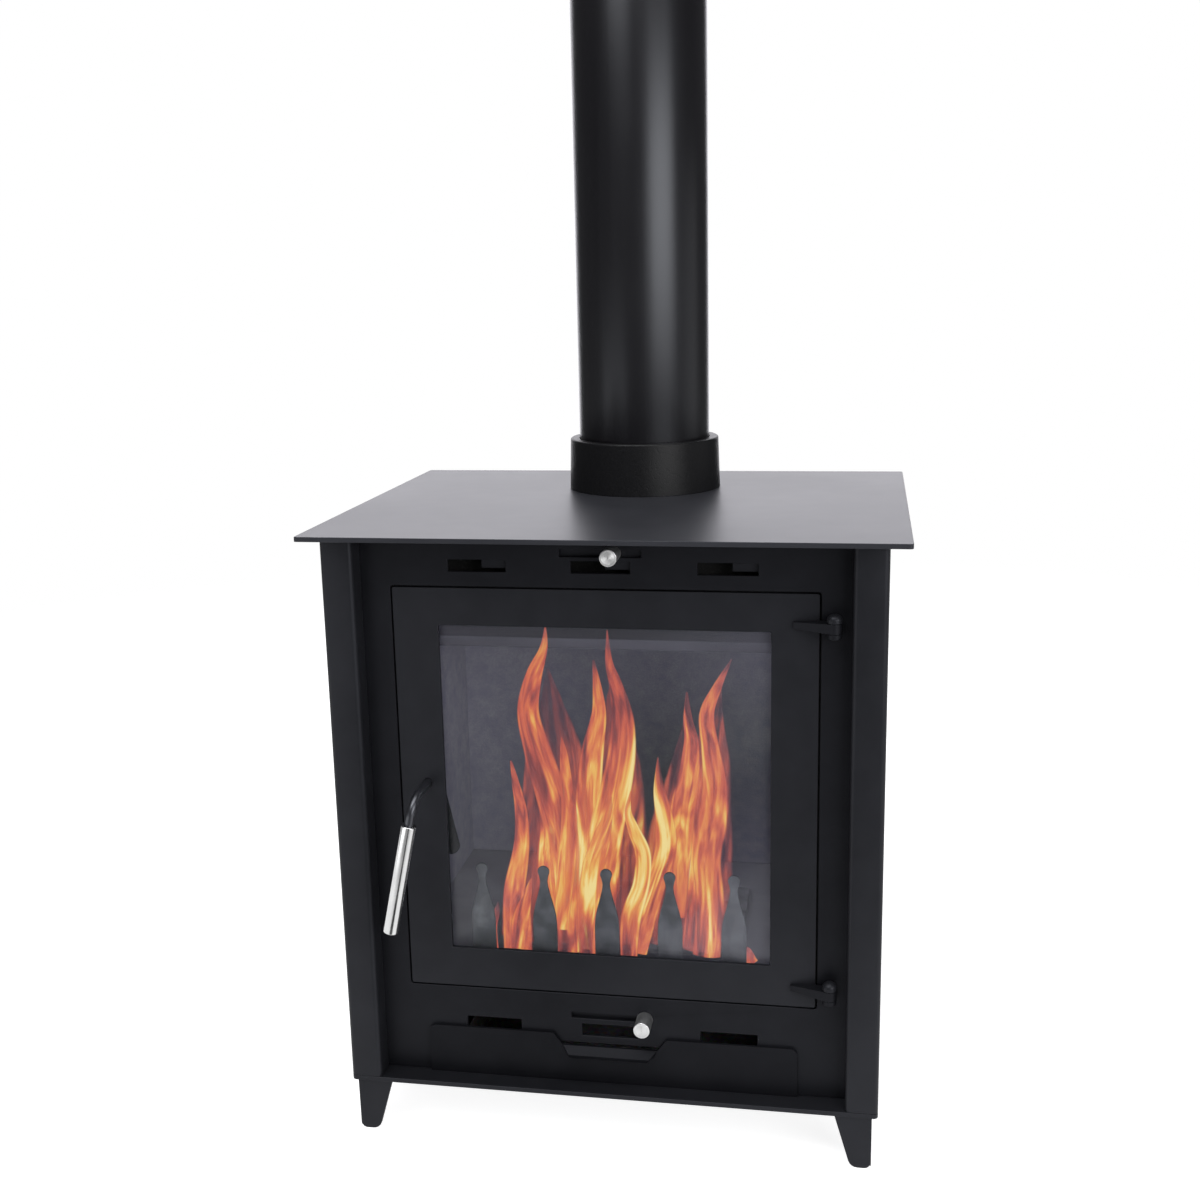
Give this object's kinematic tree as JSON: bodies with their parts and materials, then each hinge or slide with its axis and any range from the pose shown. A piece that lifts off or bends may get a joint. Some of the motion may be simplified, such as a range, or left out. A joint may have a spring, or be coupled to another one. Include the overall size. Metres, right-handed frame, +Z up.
{
  "type": "wood burning stove",
  "caption": "Freestanding steel wood burning stove on short legs: framed glass door with turning latch, air sliders, ash drawer, cast collar and a length of round flue pipe.",
  "frame": {"origin": "on the hearth, under the middle of the whole stove's box", "axes": "+Z up, the door faces -Y, and +X is to the right for someone facing the door"},
  "size_m": [0.597, 0.4996, 1.2667],
  "materials": {
    "black_paint": "satin-matt high temperature stove paint, faint orange peel",
    "pipe_paint": "satin black flue pipe paint",
    "cast_iron": "black painted casting, fine sand texture",
    "inner_steel": "heat-dulled black steel",
    "polished_steel": "polished turned stainless steel",
    "plated_steel": "zinc plated, slightly dulled by heat",
    "ceramic_glass": "clear ceramic stove glass",
    "seal_rope": "graphite black knitted glass fibre rope",
    "firebrick": "pressed vermiculite board"
  },
  "bodies": {
    "stove_body": {"side_panel_left": "black_paint", "side_panel_right": "black_paint", "back_panel": "black_paint", "base_plate": "black_paint", "top_plate": "black_paint", "face_plate": "black_paint", "leg_front_left": "black_paint", "leg_front_right": "black_paint", "leg_back_left": "black_paint", "leg_back_right": "black_paint", "hinge_bracket_upper": "black_paint", "hinge_bracket_lower": "black_paint", "hinge_pin_upper": "black_paint", "hinge_pin_lower": "black_paint", "door_surround": "inner_steel", "firebox_floor": "inner_steel", "brick_retainer_left": "inner_steel", "brick_retainer_right": "inner_steel", "airwash_channel": "inner_steel", "flue_pipe": "pipe_paint", "flue_collar": "cast_iron", "grate": "cast_iron", "log_guard": "cast_iron", "firebrick_left": "firebrick", "firebrick_right": "firebrick", "firebrick_back": "firebrick", "baffle_plate": "firebrick", "latch_keeper": "plated_steel", "upper_guide_left": "plated_steel", "upper_guide_right": "plated_steel", "lower_guide_left": "plated_steel", "lower_guide_right": "plated_steel"},
    "door": {"door_frame": "black_paint", "door_glass": "ceramic_glass", "glass_gasket": "seal_rope", "rope_seal": "seal_rope", "hinge_arm_upper": "black_paint", "hinge_arm_lower": "black_paint", "spindle_bush": "plated_steel", "glass_clip_1": "plated_steel", "glass_clip_2": "plated_steel", "glass_clip_3": "plated_steel", "glass_clip_4": "plated_steel", "clip_screw_1": "plated_steel", "clip_screw_2": "plated_steel", "clip_screw_3": "plated_steel", "clip_screw_4": "plated_steel"},
    "handle": {"handle_rod": "black_paint", "handle_sleeve": "polished_steel", "latch_arm": "inner_steel", "latch_nut": "plated_steel"},
    "upper_air": {"upper_slider": "inner_steel", "upper_knob": "polished_steel"},
    "lower_air": {"lower_slider": "inner_steel", "lower_knob": "polished_steel"},
    "ash_drawer": {"drawer_front": "black_paint", "ash_pan": "plated_steel"}
  },
  "joints": [
    {"name": "door_swing", "type": "hinge", "parent": "stove_body", "child": "door", "pos_m": [0.2275, -0.2018, 0.38], "axis": [0, 0, 1], "range_deg": [0, 110]},
    {"name": "handle_turn", "type": "hinge", "parent": "door", "child": "handle", "pos_m": [-0.1855, -0.2158, 0.3894], "axis": [0, 1, 0], "range_deg": [0, 60]},
    {"name": "upper_air_slide", "type": "slide", "parent": "stove_body", "child": "upper_air", "axis": [1, 0, 0], "range_m": [-0.049, 0.0253]},
    {"name": "lower_air_slide", "type": "slide", "parent": "stove_body", "child": "lower_air", "axis": [1, 0, 0], "range_m": [-0.064, 0]},
    {"name": "drawer_pull", "type": "slide", "parent": "stove_body", "child": "ash_drawer", "axis": [0, -1, 0], "range_m": [0, 0.25]}
  ]
}
